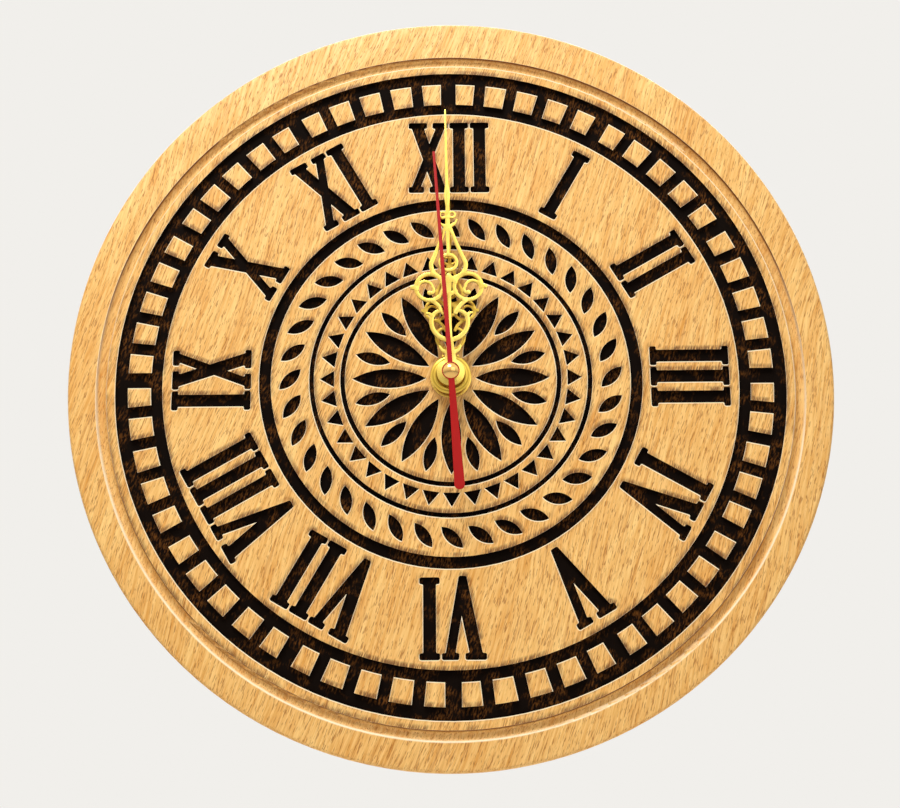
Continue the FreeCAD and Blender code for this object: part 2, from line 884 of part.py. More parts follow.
def motion_wheel():
    work = module_of(motion_distance, motion_teeth, cannon_teeth)
    slow = module_of(motion_distance, hour_teeth, motion_pinion_teeth)
    phase = meshed_phase(0, cannon_teeth, motion_teeth, motion_angle)
    wheel = gear(motion_axis, motion_teeth, work, phase, motion_layer)
    pinion = gear(motion_axis, motion_pinion_teeth, slow, 0, hour_layer, pinion=True)
    long_arbor = disc(motion_axis, knob_arbor_radius, pivot_front_y, knob_front_y + knob_socket_depth)
    return fused([wheel, pinion, long_arbor])


def hour_wheel():
    slow = module_of(motion_distance, hour_teeth, motion_pinion_teeth)
    phase = meshed_phase(0, motion_pinion_teeth, hour_teeth, motion_angle + 180)
    wheel = gear(centre, hour_teeth, slow, phase, hour_layer)
    pipe = disc(centre, hour_pipe_radius, hour_pipe_y, layer_front(hour_layer) + wheel_thick)
    bore = disc(centre, minute_arbor_radius + running_clear, hour_pipe_y - overrun, cover_front_y)
    return fused([wheel, pipe]).cut(bore)


def setting_knob():
    body = disc(motion_axis, knob_radius, knob_front_y, knob_front_y + knob_thick)
    grips = [disc(shifted(motion_axis, knob_radius, 360 / knob_grips * i), knob_grip,
                  knob_front_y - overrun, knob_front_y + knob_thick + overrun) for i in range(knob_grips)]
    socket = disc(motion_axis, knob_arbor_radius, knob_front_y - overrun, knob_front_y + knob_socket_depth)
    return body.cut(grips + [socket])


# Motor and electronics
def stator():
    low = rotor_axis[1] - stator_height / 2
    half = stator_length / 2
    flat = face(rounded_box(-half, low, half, low + stator_height, card_post_radius),
                [circle(rotor_axis, magnet_radius + stator_air)])
    return slab(flat, stator_front_y, stator_front_y + stator_thick)


def coil_axis():
    return (rotor_axis[1] + core_rise, stator_front_y - core_thick / 2)


def coil_core():
    """A bar through the coil whose two legs lie on the stator."""
    z, y = coil_axis()
    half = stator_length / 2
    front, back = y - core_thick / 2, y + core_thick / 2
    bar = block((-half, front, z - core_width / 2), (half, back, z + core_width / 2))
    legs = [block((min(side * half, side * (half - core_width)), front, rotor_axis[1] + core_leg_start),
                  (max(side * half, side * (half - core_width)), back, z)) for side in (-1, 1)]
    return fused([bar] + legs)


def coil_tube(radius, first_x, last_x):
    z, y = coil_axis()
    solid = Part.makeCylinder(radius, last_x - first_x, Vector(first_x, y, z), Vector(1, 0, 0))
    hole = block((first_x - overrun, y - core_thick / 2, z - core_width / 2),
                 (last_x + overrun, y + core_thick / 2, z + core_width / 2))
    return solid.cut(hole)


def coil_bobbin():
    half = coil_length / 2
    return fused([coil_tube(bobbin_flange_radius, -half - bobbin_flange, -half),
                  coil_tube(bobbin_tube_radius, -half, half),
                  coil_tube(bobbin_flange_radius, half, half + bobbin_flange)])


def coil_winding():
    z, y = coil_axis()
    half = coil_length / 2
    body = Part.makeCylinder(coil_radius, coil_length, Vector(-half, y, z), Vector(1, 0, 0))
    return body.cut(Part.makeCylinder(bobbin_tube_radius, coil_length + 2 * overrun,
                                      Vector(-half - overrun, y, z), Vector(1, 0, 0)))


def circuit_board():
    high_x = half_cavity - card_gap
    return block((high_x - card_width, card_front_y, card_low),
                 (high_x, card_front_y + card_thick, card_low + card_height))


def chip_blob():
    x, z = card_posts()[0]
    place = (x, z + chip_offset)
    back = card_front_y + card_thick
    ball_radius = (chip_radius ** 2 + chip_rise ** 2) / (2 * chip_rise)
    ball = Part.makeSphere(ball_radius, at(place, back + chip_rise - ball_radius))
    return ball.common(disc(place, chip_radius, back, back + chip_rise + overrun))


def quartz_crystal():
    x, z = card_posts()[1]
    back = card_front_y + card_thick
    return Part.makeCylinder(crystal_radius, crystal_length,
                             Vector(x, back + crystal_radius, z - crystal_length), Vector(0, 0, 1))


# Battery and its contacts
def battery():
    """The cell lies along X with its nub towards -X."""
    spring_face = half_cavity - contact_thick - spring_reach
    can_end = spring_face - cell_length
    can = Part.makeCylinder(cell_dia / 2, cell_length, Vector(can_end, cell_y, cell_z), Vector(1, 0, 0))
    rims = [edge for edge in can.Edges if edge.Closed and edge.Length > cell_dia]
    can = can.makeFillet(cell_edge_round, rims)
    nub = Part.makeCylinder(cell_nub_dia / 2, cell_nub_length,
                            Vector(can_end - cell_nub_length, cell_y, cell_z), Vector(1, 0, 0))
    return fused([can, nub])


def nub_contact():
    """Flat leaf between the end wall and the nub."""
    nub_face = half_cavity - contact_thick - spring_reach - cell_length - cell_nub_length
    return block((-half_cavity, cell_y - contact_width / 2, cell_z - contact_width / 2),
                 (nub_face, cell_y + contact_width / 2, cell_z + contact_width / 2))


def spring_contact():
    """Leaf at the flat end of the cell, pressed out to a round pad."""
    plate = block((half_cavity - contact_thick, cell_y - contact_width / 2, cell_z - contact_width / 2),
                  (half_cavity, cell_y + contact_width / 2, cell_z + contact_width / 2))
    cone = Part.makeCone(contact_width / 2, spring_pad_dia / 2, spring_reach,
                         Vector(half_cavity - contact_thick, cell_y, cell_z), Vector(-1, 0, 0))
    return fused([plate, cone])


# Hands. The ornament is in shares of the hand's body length: strips as
# (start, middle, end, start width, end width), rings as (centre, radius, width).
neck_shares = ((0.0, 0.05), (0.0, 0.12), (0.0, 0.20), 0.074, 0.030)
strip_shares = (
    ((0.014, 0.118), (0.040, 0.125), (0.058, 0.150), 0.024, 0.012),
    ((0.000, 0.190), (0.082, 0.232), (0.100, 0.325), 0.026, 0.024),
    ((0.100, 0.325), (0.112, 0.345), (0.130, 0.350), 0.024, 0.010),
    ((0.100, 0.325), (0.080, 0.352), (0.040, 0.362), 0.024, 0.018),
    ((0.036, 0.350), (0.060, 0.392), (0.104, 0.428), 0.022, 0.022),
    ((0.000, 0.560), (0.078, 0.585), (0.098, 0.655), 0.026, 0.024),
    ((0.098, 0.655), (0.060, 0.742), (0.012, 0.880), 0.024, 0.018),
    ((0.010, 0.880), (0.034, 0.888), (0.052, 0.915), 0.020, 0.010),
    ((0.181, 0.496), (0.136, 0.542), (0.092, 0.506), 0.018, 0.014),
    ((0.094, 0.506), (0.088, 0.482), (0.110, 0.470), 0.014, 0.020),
)
ring_shares = (
    ((0.110, 0.507), 0.079, 0.021),
    ((0.026, 0.948), 0.018, 0.011),
)
middle_ring_shares = (
    ((0.0, 0.655), 0.048, 0.018),
)
ball_shares = (
    ((0.207, 0.507), 0.013),
    ((0.112, 0.472), 0.012),
)
spine_shares = (
    ((0.0, 0.19), (0.0, 0.30), (0.0, 0.36), 0.026, 0.016),
    ((0.0, 0.36), (0.0, 0.45), (0.0, 0.57), 0.016, 0.034),
    ((0.0, 0.70), (0.0, 0.80), (0.0, 0.90), 0.014, 0.026),
    ((0.0, 0.90), (0.0, 0.95), (0.0, 1.00), 0.026, 0.018),
)
bridge_shares = (
    ((0.0, 0.462), (0.022, 0.470), (0.040, 0.480), 0.026, 0.020),
    ((0.0, 0.552), (0.022, 0.545), (0.040, 0.534), 0.026, 0.020),
)
swell_share = 1.07
waist_share = 1.14
swell_width_share = 0.036
waist_width_share = 0.017


def strip_faces(shares, size, both_sides):
    first, middle, last, wide, narrow = shares
    faces = []
    for flip in ((False, True) if both_sides else (False,)):
        points = [scaled(point, size) for point in (first, middle, last)]
        if flip:
            points = [mirrored(point) for point in points]
        faces.extend(band(*points, wide * size, narrow * size))
    return faces


def ring_faces(shares, size, both_sides):
    place, radius, width = shares
    faces = []
    for flip in ((False, True) if both_sides else (False,)):
        middle = scaled(mirrored(place) if flip else place, size)
        outer = circle(middle, (radius + width / 2) * size)
        faces.append(face(outer, [circle(middle, (radius - width / 2) * size)]))
    return faces


def ornate_faces(size, reach, hub_radius):
    """The strips, rings and needle of a filigree hand that points to twelve."""
    faces = [face(circle(centre, hub_radius))]
    faces += strip_faces(neck_shares, size, False)
    for shares in strip_shares + bridge_shares:
        faces += strip_faces(shares, size, True)
    for shares in spine_shares:
        faces += strip_faces(shares, size, False)
    for shares in ring_shares:
        faces += ring_faces(shares, size, True)
    for shares in middle_ring_shares:
        faces += ring_faces(shares, size, False)
    for place, radius in ball_shares:
        for point in (place, mirrored(place)):
            faces.append(face(circle(scaled(point, size), radius * size)))
    root = size * spine_shares[-1][-1] / 2
    right = [(root, size),
             (size * swell_width_share / 2, size * swell_share),
             (size * waist_width_share / 2, size * waist_share),
             (needle_tip_width / 2, reach - needle_tip_width)]
    needle = right + [(0.0, reach)] + [mirrored(point) for point in reversed(right)]
    faces.append(face(polygon(needle)))
    return faces


def hour_hand():
    back = hour_hand_y
    front = back - hand_thick
    plate = slab_union(ornate_faces(hour_body, hour_hand_reach, hour_hub_radius), front, back)
    ring = tube(centre, hour_hub_ring, hour_hub_ring - ring_relief_width, front - ring_relief, front)
    collar = disc(centre, hour_pipe_radius + hour_collar_wall, front - hour_pipe_proud, front)
    bore = disc(centre, hour_pipe_radius, front - hour_pipe_proud - overrun, back + overrun)
    return turned(fused([plate, ring, collar]).cut(bore), hour_hand_turn)


def minute_hand():
    back = minute_hand_y
    front = back - hand_thick
    plate = slab_union(ornate_faces(minute_body, minute_hand_reach, minute_hub_radius), front, back)
    collar = disc(centre, minute_arbor_radius + minute_collar_wall, front - minute_arbor_proud, front)
    bore = disc(centre, minute_arbor_radius, front - minute_arbor_proud - overrun, back + overrun)
    return turned(fused([plate, collar]).cut(bore), minute_hand_turn)


def second_hand():
    back = second_hand_y
    front = back - second_hand_thick
    pointer = [(-second_root_width / 2, 0.0), (second_root_width / 2, 0.0),
               (second_tip_width / 2, second_hand_reach), (-second_tip_width / 2, second_hand_reach)]
    tail_centre = -second_tail_reach + second_tail_end / 2
    faces = [face(circle(centre, second_hub_radius)), face(polygon(pointer))]
    faces += band((0.0, 0.0), (0.0, tail_centre / 2), (0.0, tail_centre), second_tail_root, second_tail_end)
    plate = slab_union(faces, front, back)
    push_tube = disc(centre, second_tube_radius, back, back + second_tube_length)
    bore = disc(centre, second_arbor_radius, front - overrun, back + second_tube_length + overrun)
    return turned(fused([plate, push_tube]).cut(bore), second_hand_turn)


def second_hand_cap():
    back = second_hand_y - second_hand_thick
    ball_radius = (cap_radius ** 2 + cap_height ** 2) / (2 * cap_height)
    ball = Part.makeSphere(ball_radius, at(centre, back - cap_height + ball_radius))
    dome = ball.common(disc(centre, cap_radius, back - cap_height - overrun, back))
    return dome.cut(disc(centre, second_arbor_radius, second_arbor_y, back + overrun))


# Hanger
def hanger_plate():
    entry = keyhole_low()
    plate = slab(face(hanger_outline(0)), -hanger_thick, 0)
    slot_top = (entry[0], entry[1] + slot_length)
    cutters = [disc(entry, keyhole_radius, -hanger_thick - overrun, overrun),
               disc(slot_top, slot_width / 2, -hanger_thick - overrun, overrun),
               block((-slot_width / 2, -hanger_thick - overrun, entry[1]),
                     (slot_width / 2, overrun, slot_top[1]))]
    for place in screw_places():
        cutters.append(screw_head(place))
    return plate.cut(cutters)


def screw_head(place):
    return Part.makeCone(screw_shank_radius, screw_head_radius, hanger_thick,
                         at(place, -hanger_thick), Vector(0, 1, 0))


def hanger_screws():
    screws = []
    for place in screw_places():
        shank = disc(place, screw_shank_radius, -screw_length, -hanger_thick)
        screws.append(fused([screw_head(place), shank]))
    return Part.makeCompound(screws)


nodes = {
    "dial_board": dial_board,
    "movement_case": movement_case,
    "movement_cover": movement_cover,
    "threaded_bush": threaded_bush,
    "rubber_seal": rubber_seal,
    "brass_washer": brass_washer,
    "hex_nut": hex_nut,
    "hour_hand": hour_hand,
    "minute_hand": minute_hand,
    "second_hand": second_hand,
    "second_hand_cap": second_hand_cap,
    "hour_wheel": hour_wheel,
    "minute_arbor": minute_arbor,
    "clutch_spring": clutch_spring,
    "centre_wheel": centre_wheel,
    "third_wheel": third_wheel,
    "seconds_wheel": second_wheel,
    "intermediate_wheel": intermediate_wheel,
    "rotor_pinion": rotor_pinion,
    "rotor_magnet": rotor_magnet,
    "motion_wheel": motion_wheel,
    "setting_knob": setting_knob,
    "stator": stator,
    "coil_core": coil_core,
    "coil_bobbin": coil_bobbin,
    "coil_winding": coil_winding,
    "circuit_board": circuit_board,
    "chip_blob": chip_blob,
    "quartz_crystal": quartz_crystal,
    "battery": battery,
    "nub_contact": nub_contact,
    "spring_contact": spring_contact,
    "hanger_plate": hanger_plate,
    "hanger_screws": hanger_screws,
}


def main():
    os.makedirs("parts", exist_ok=True)
    for name, make in nodes.items():
        shape = make()
        solids = shape.Solids
        print(name, "solids", len(solids), "valid", shape.isValid(), "volume", round(shape.Volume, 1))
        if len(solids) == 1:
            shape = solids[0]
        shape.exportStep("parts/" + name + ".step")


main()
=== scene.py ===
"""Looks of a round carved beech wall clock: finishes, softened edges, wound coil, light, floor and camera.

Metres. The wall plane is y = 0, the dial faces -Y and twelve o'clock is +Z.
"""

import math

import bmesh
import bpy
from mathutils import Matrix, Vector


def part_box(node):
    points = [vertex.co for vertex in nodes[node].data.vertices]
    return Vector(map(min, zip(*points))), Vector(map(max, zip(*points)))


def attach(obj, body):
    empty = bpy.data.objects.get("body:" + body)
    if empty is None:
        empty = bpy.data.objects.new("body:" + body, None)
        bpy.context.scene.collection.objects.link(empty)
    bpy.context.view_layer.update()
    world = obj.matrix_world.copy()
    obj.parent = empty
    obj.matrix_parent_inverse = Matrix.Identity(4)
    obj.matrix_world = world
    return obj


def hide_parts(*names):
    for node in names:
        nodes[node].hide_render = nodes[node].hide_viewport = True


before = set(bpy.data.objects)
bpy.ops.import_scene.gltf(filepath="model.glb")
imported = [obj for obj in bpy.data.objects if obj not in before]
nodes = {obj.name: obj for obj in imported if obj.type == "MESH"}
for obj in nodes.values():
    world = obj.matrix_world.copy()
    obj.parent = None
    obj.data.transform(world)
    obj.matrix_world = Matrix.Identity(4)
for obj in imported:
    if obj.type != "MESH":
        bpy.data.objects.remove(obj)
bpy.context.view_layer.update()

mm = 0.001

# Places read from the frame
board_low, board_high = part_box("dial_board")
rim_radius = (board_high.x - board_low.x) / 2
face_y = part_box("brass_washer")[1].y
cell_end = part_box("battery")[1].x

# Carving: how deep the strokes and the cove are cut, how far out the minute track and the cove reach,
# the land round the track that took stain, and a hair of slack
carve_depth = 1.6 * mm
cove_depth = 2.0 * mm
carve_reach_share = 0.8765
cove_reach_share = 0.9255
land_width = 3.0 * mm
skin = 0.06 * mm
carve_reach = rim_radius * carve_reach_share
cove_reach = rim_radius * cove_reach_share

# Grain of the beech: its lean and wander, and tones, streaks, dark lines and pores as width and length
grain_lean = math.radians(17)
wander_size = 110 * mm
wander_width = 20 * mm
broad_grain = (7 * mm, 90 * mm)
streak_grain = (0.9 * mm, 14 * mm)
line_grain = (0.7 * mm, 22 * mm)
pore_grain = (0.36 * mm, 2.8 * mm)
pore_depth = 0.05 * mm

# Stain that bled above a stroke, painted shade in the cove, and painted highlights on front edges, with the
# rays by which a place finds the edge or the hollow near it
edge_rays = 8
bleed_grain = (0.5 * mm, 5 * mm)
bleed_size = 11 * mm
bleed_reach = 2.0 * mm
bleed_way = (0.35, 0.0, 1.3)
cove_shade_reach = 2.6 * mm
highlight_reach = 0.55 * mm
highlight_way = (-0.35, 0.0, -1.0)

# Torn fibres of the stained floors, and the spans where they are worn brown
fibre_grain = (0.8 * mm, 2.4 * mm)
fibre_depth = 0.12 * mm
worn_size = 6.7 * mm

# Plastic: clouds of colour, and pits of the spark-eroded mould
plastic_cloud = 16 * mm
spark_size = 0.3 * mm
spark_depth = 0.02 * mm

# Metal: clouds of colour, and rolling or polishing lines as width and length, with the shares of its
# roughness on their ridges and in their grooves
metal_cloud = 9 * mm
line_depth = 0.01 * mm
ridge_share = 0.7
groove_share = 1.4
turned_lines = (0.3 * mm, 0.3 * mm)
hand_lines = (0.25 * mm, 4 * mm)
cap_lines = (0.4 * mm, 0.4 * mm)
strip_lines = (0.2 * mm, 3 * mm)
wire_lines = (0.2 * mm, 0.2 * mm)
plate_lines = (1.2 * mm, 1.2 * mm)
screw_lines = (0.8 * mm, 0.8 * mm)

# Lathe rings on the hour hand's hub
ring_pitch = 1.1 * mm
ring_depth = 0.06 * mm
hub_reach = 8.4 * mm

# Foil of the cell: where it ends, and its crinkles
jacket_seam = cell_end - 3.5 * mm
crinkle_size = 2.5 * mm
crinkle_depth = 0.03 * mm

# Two points this near are one; the roll of a stamped or a sprayed edge, its steps and its least turn
weld = 0.0005 * mm
hand_edge = 0.14 * mm
enamel_edge = 0.1 * mm
edge_segments = 2
edge_turn = math.radians(40)

# Edges that turn by more than this stay sharp
board_sharp = math.radians(30)
small_sharp = math.radians(40)
rolled_sharp = math.radians(50)

# Cross recess of the screws
cross_length = 3.6 * mm
cross_width = 0.9 * mm
cross_depth = 0.8 * mm

# Coil wire: its pitch, the points in each turn, and the sides of the wire and of the core
wire_pitch = 0.2 * mm
spiral_steps = 20
wire_sides = 6
core_sides = 32

# Light: the world's strength, what gloss mirrors low and high, and lamps as name, place, width, watts
ambient_strength = 0.3
mirrored_low = 0.12
mirrored_high = 1.35
lamps = (
    ("key", (-0.2, -0.52, 0.8), 0.4, 10.0),
    ("fill", (1.2, -2.4, 1.0), 2.0, 11.0),
    ("back", (0.5, 1.5, 1.9), 2.4, 50.0),
)

# Floor under the hung clock
floor_half = 1.9
floor_height = -0.32

# Camera, as it stood before the photographed clock: low and looking up
lens = 56.97
sensor = 36.0
camera_distance = 558 * mm
camera_rise = math.radians(-14.9)
camera_roll = math.radians(-0.5)
aim_x = -0.4 * mm
aim_z = -10.6 * mm


def linear(colour):
    """An sRGB hex colour as the linear RGBA that shaders take."""
    shares = [int(colour[i:i + 2], 16) / 255 for i in (1, 3, 5)]
    curve = [share / 12.92 if share <= 0.04045 else ((share + 0.055) / 1.055) ** 2.4 for share in shares]
    return (*curve, 1.0)


def add(tree, kind, sockets=None, **settings):
    """Adds a node. Settings are its properties; sockets gives an input a value, a node or an output."""
    node = tree.nodes.new(kind)
    for name, value in settings.items():
        setattr(node, name, value)
    for key, value in (sockets or {}).items():
        if isinstance(value, bpy.types.Node):
            value = value.outputs[0]
        if isinstance(value, bpy.types.NodeSocket):
            tree.links.new(value, node.inputs[key])
        else:
            node.inputs[key].default_value = value
    return node


def finish(name, **sockets):
    """A new material and its shader, whose plain values are set by the socket's name."""
    material = bpy.data.materials.new(name)
    material.use_nodes = True
    shader = material.node_tree.nodes["Principled BSDF"]
    for key, value in sockets.items():
        shader.inputs[key.replace("_", " ")].default_value = value
    return material, material.node_tree, shader


def grain_noise(tree, place, across, along, detail=3.0, rough=0.55):
    """Noise drawn out along Z: its grains are across wide and along long, in metres."""
    rates = (1 / across, 1 / across, 1 / along)
    stretched = add(tree, "ShaderNodeMapping", {"Vector": place, "Scale": rates})
    return add(tree, "ShaderNodeTexNoise",
               {"Vector": stretched, "Scale": 1.0, "Detail": detail, "Roughness": rough})


def off_axis(tree, axes):
    """How far a place is from the axis that the hands turn on."""
    flat = add(tree, "ShaderNodeCombineXYZ", {"X": axes.outputs["X"], "Z": axes.outputs["Z"]})
    return add(tree, "ShaderNodeVectorMath", {0: flat}, operation="LENGTH").outputs["Value"]


def beech_grain(tree, place):
    """Colour of planed beech: amber and pale streaks, and short dark pores along the grain."""
    wander = add(tree, "ShaderNodeTexNoise", {"Vector": place, "Scale": 1 / wander_size, "Detail": 1.0})
    bend = add(tree, "ShaderNodeVectorMath",
               {0: wander.outputs["Color"], 1: (0.5, 0.5, 0.5)}, operation="SUBTRACT")
    drift = add(tree, "ShaderNodeVectorMath", {0: bend, 1: (wander_width, 0.0, 0.0)}, operation="MULTIPLY")
    bent = add(tree, "ShaderNodeVectorMath", {0: place, 1: drift}, operation="ADD")
    grain = add(tree, "ShaderNodeMapping", {"Vector": bent, "Rotation": (0.0, -grain_lean, 0.0)})

    broad = grain_noise(tree, grain, *broad_grain, 2.0)
    streak = grain_noise(tree, grain, *streak_grain, 3.0, 0.6)
    line = grain_noise(tree, grain, *line_grain, 2.0, 0.5)
    pore = grain_noise(tree, grain, *pore_grain, 1.0, 0.5)
    broad_part = add(tree, "ShaderNodeMapRange", {"Value": broad, "From Min": 0.32, "From Max": 0.68})
    streak_part = add(tree, "ShaderNodeMapRange", {"Value": streak, "From Min": 0.34, "From Max": 0.66})
    line_part = add(tree, "ShaderNodeMapRange",
                    {"Value": line, "From Min": 0.58, "From Max": 0.72, "To Max": 0.45})
    pore_part = add(tree, "ShaderNodeMapRange",
                    {"Value": pore, "From Min": 0.57, "From Max": 0.68, "To Max": 0.7})
    tone = add(tree, "ShaderNodeMix",
               {0: broad_part, 6: linear("#DC9B46"), 7: linear("#F0BF70")}, data_type="RGBA")
    streaked = add(tree, "ShaderNodeMix",
                   {0: streak_part, 6: linear("#CC8A34"), 7: linear("#F9D58C")}, data_type="RGBA")
    wood = add(tree, "ShaderNodeMix", {0: 0.5, 6: tone.outputs[2], 7: streaked.outputs[2]}, data_type="RGBA")
    lined = add(tree, "ShaderNodeMix",
                {0: line_part, 6: wood.outputs[2], 7: linear("#A8621A")}, data_type="RGBA")
    pored = add(tree, "ShaderNodeMix",
                {0: pore_part, 6: lined.outputs[2], 7: linear("#95530F")}, data_type="RGBA")
    relief = add(tree, "ShaderNodeMath", {0: streak_part, 1: pore_part}, operation="SUBTRACT")
    return pored.outputs[2], relief, grain


def bled_stain(tree, place, grain, normal, on_dial):
    """Where stain wicked along the grain into the wood above each stroke, in patches."""
    upward = add(tree, "ShaderNodeVectorMath", {0: normal, 1: bleed_way}, operation="ADD")
    below = add(tree, "ShaderNodeAmbientOcclusion",
                {"Distance": bleed_reach, "Normal": upward}, inside=True, samples=edge_rays)
    bleed = add(tree, "ShaderNodeMapRange",
                {"Value": below.outputs["AO"], "From Min": 0.98, "From Max": 0.58, "To Max": 0.85})
    wick = grain_noise(tree, grain, *bleed_grain, 2.0, 0.5)
    patch = add(tree, "ShaderNodeTexNoise", {"Vector": place, "Scale": 1 / bleed_size, "Detail": 2.0})
    fine = add(tree, "ShaderNodeMapRange", {"Value": wick, "From Min": 0.34, "From Max": 0.52})
    patchy = add(tree, "ShaderNodeMapRange", {"Value": patch, "From Min": 0.38, "From Max": 0.52})
    some = add(tree, "ShaderNodeMath", {0: fine, 1: patchy}, operation="MULTIPLY")
    bled = add(tree, "ShaderNodeMath", {0: bleed, 1: some}, operation="MULTIPLY")
    return add(tree, "ShaderNodeMath", {0: bled, 1: on_dial}, operation="MULTIPLY")


def painted_cove_shade(tree, steep, under, in_cove):
    """Painted shade in the cove: dark in its hollow and on the walls that face down, under its overhanging
    side.
    """
    hollow = add(tree, "ShaderNodeAmbientOcclusion", {"Distance": cove_shade_reach}, samples=edge_rays)
    hollow_shade = add(tree, "ShaderNodeMapRange",
                 {"Value": hollow.outputs["AO"], "From Min": 0.93, "From Max": 0.5, "To Max": 0.95})
    caught = add(tree, "ShaderNodeMath", {0: hollow_shade, 1: steep}, operation="MAXIMUM")
    kept = add(tree, "ShaderNodeMath", {0: caught, 1: under}, operation="MULTIPLY")
    return add(tree, "ShaderNodeMath", {0: kept, 1: in_cove}, operation="MULTIPLY")


def painted_edge_highlights(tree, normal, steep, under, front):
    """Painted highlights on front edges: a pale line below each stroke, and the sides that face up made pale.
    """
    downward = add(tree, "ShaderNodeVectorMath", {0: normal, 1: highlight_way}, operation="ADD")
    above = add(tree, "ShaderNodeAmbientOcclusion",
                {"Distance": highlight_reach, "Normal": downward}, inside=True, samples=edge_rays)
    edge = add(tree, "ShaderNodeMapRange", {"Value": above.outputs["AO"], "From Min": 0.85, "From Max": 0.5})
    over = add(tree, "ShaderNodeMath", {0: 1.0, 1: under}, operation="SUBTRACT")
    # Painted highlight: steep sides that face up, made pale as if lit from above
    worn = add(tree, "ShaderNodeMath", {0: steep, 1: over}, operation="MULTIPLY")
    either = add(tree, "ShaderNodeMath", {0: edge, 1: worn}, operation="MAXIMUM")
    pale = add(tree, "ShaderNodeMath", {0: either, 1: front}, operation="MULTIPLY")
    return add(tree, "ShaderNodeMath", {0: pale, 1: 0.95}, operation="MULTIPLY")


def beech():
    """Steamed beech, planed, routed and oiled.

    Warm and satin. Stain bled along the grain into the wood above each stroke. The cove carries painted
    shade in its hollow and on its down-facing walls, and front edges carry painted highlights.
    """
    material, tree, shader = finish("oiled_beech", Roughness=0.5, IOR=1.5, Specular_IOR_Level=0.35)
    place = add(tree, "ShaderNodeTexCoord").outputs["Object"]
    normal = add(tree, "ShaderNodeNewGeometry").outputs["Normal"]
    plain, relief, grain = beech_grain(tree, place)

    # Which part of the board a place is on, and how its surface leans
    axes = add(tree, "ShaderNodeSeparateXYZ", {"Vector": place})
    radius = off_axis(tree, axes)
    front = add(tree, "ShaderNodeMath",
                {0: axes.outputs["Y"], 1: face_y + cove_depth + skin}, operation="LESS_THAN")
    dial = add(tree, "ShaderNodeMath", {0: radius, 1: carve_reach + land_width}, operation="LESS_THAN")
    on_dial = add(tree, "ShaderNodeMath", {0: dial, 1: front}, operation="MULTIPLY")
    inner = add(tree, "ShaderNodeMath", {0: radius, 1: cove_reach}, operation="LESS_THAN")
    in_cove = add(tree, "ShaderNodeMath", {0: front, 1: inner}, operation="MULTIPLY")
    lean = add(tree, "ShaderNodeSeparateXYZ", {"Vector": normal})
    steep = add(tree, "ShaderNodeMapRange", {"Value": lean.outputs["Y"], "From Min": -0.8, "From Max": -0.4})
    under = add(tree, "ShaderNodeMapRange", {"Value": lean.outputs["Z"], "From Min": 0.25, "From Max": -0.35})

    stain = bled_stain(tree, place, grain, normal, on_dial)
    # Painted shade in the cove
    cove_shade = painted_cove_shade(tree, steep, under, in_cove)
    # Painted highlights on front edges
    edge_highlight = painted_edge_highlights(tree, normal, steep, under, front)
    smoked = add(tree, "ShaderNodeMix", {0: stain, 6: plain, 7: linear("#54290A")}, data_type="RGBA")
    # Dark brown painted shade in the cove
    cove_shaded = add(tree, "ShaderNodeMix", {0: cove_shade, 6: smoked.outputs[2], 7: linear("#6E3A10")}, data_type="RGBA")
    # Pale cream painted highlight over the wood
    colour = add(tree, "ShaderNodeMix",
                 {0: edge_highlight, 6: cove_shaded.outputs[2], 7: linear("#FFEFCC")}, data_type="RGBA")
    tree.links.new(colour.outputs[2], shader.inputs["Base Color"])

    rough = add(tree, "ShaderNodeMapRange", {"Value": relief, "To Min": 0.62, "To Max": 0.45})
    tree.links.new(rough.outputs[0], shader.inputs["Roughness"])
    bump = add(tree, "ShaderNodeBump", {"Height": relief, "Distance": pore_depth, "Strength": 0.5})
    tree.links.new(bump.outputs[0], shader.inputs["Normal"])
    return material


def stained_floor():
    """Routed beech stained almost black: dull, with torn fibres that stay a little brown."""
    material, tree, shader = finish("black_stained_beech", Roughness=0.8, Specular_IOR_Level=0.05)
    place = add(tree, "ShaderNodeTexCoord").outputs["Object"]
    grain = add(tree, "ShaderNodeMapping", {"Vector": place, "Rotation": (0.0, -grain_lean, 0.0)})
    fibre = grain_noise(tree, grain, *fibre_grain, 3.0, 0.6)
    patch = add(tree, "ShaderNodeTexNoise", {"Vector": place, "Scale": 1 / worn_size, "Detail": 2.0})
    torn = add(tree, "ShaderNodeMapRange", {"Value": fibre, "From Min": 0.46, "From Max": 0.66})
    thin = add(tree, "ShaderNodeMapRange", {"Value": patch, "From Min": 0.45, "From Max": 0.65})
    brown = add(tree, "ShaderNodeMath", {0: torn, 1: thin}, operation="MULTIPLY")
    colour = add(tree, "ShaderNodeMix",
                 {0: brown, 6: linear("#0C0502"), 7: linear("#6A3F18")}, data_type="RGBA")
    tree.links.new(colour.outputs[2], shader.inputs["Base Color"])
    bump = add(tree, "ShaderNodeBump", {"Height": fibre, "Distance": fibre_depth, "Strength": 0.8})
    tree.links.new(bump.outputs[0], shader.inputs["Normal"])
    return material


def moulded(name, colour, worn, roughness, shine=0.5):
    """Moulded plastic: an even colour with the fine spark-eroded grain of its mould."""
    material, tree, shader = finish(name, Roughness=roughness, IOR=1.5, Specular_IOR_Level=shine)
    place = add(tree, "ShaderNodeTexCoord").outputs["Object"]
    cloud = add(tree, "ShaderNodeTexNoise", {"Vector": place, "Scale": 1 / plastic_cloud, "Detail": 2.0})
    mixed = add(tree, "ShaderNodeMix", {0: cloud, 6: linear(colour), 7: linear(worn)}, data_type="RGBA")
    tree.links.new(mixed.outputs[2], shader.inputs["Base Color"])
    pits = add(tree, "ShaderNodeTexNoise", {"Vector": place, "Scale": 1 / spark_size, "Detail": 1.0})
    bump = add(tree, "ShaderNodeBump", {"Height": pits, "Distance": spark_depth, "Strength": 0.5})
    tree.links.new(bump.outputs[0], shader.inputs["Normal"])
    return material


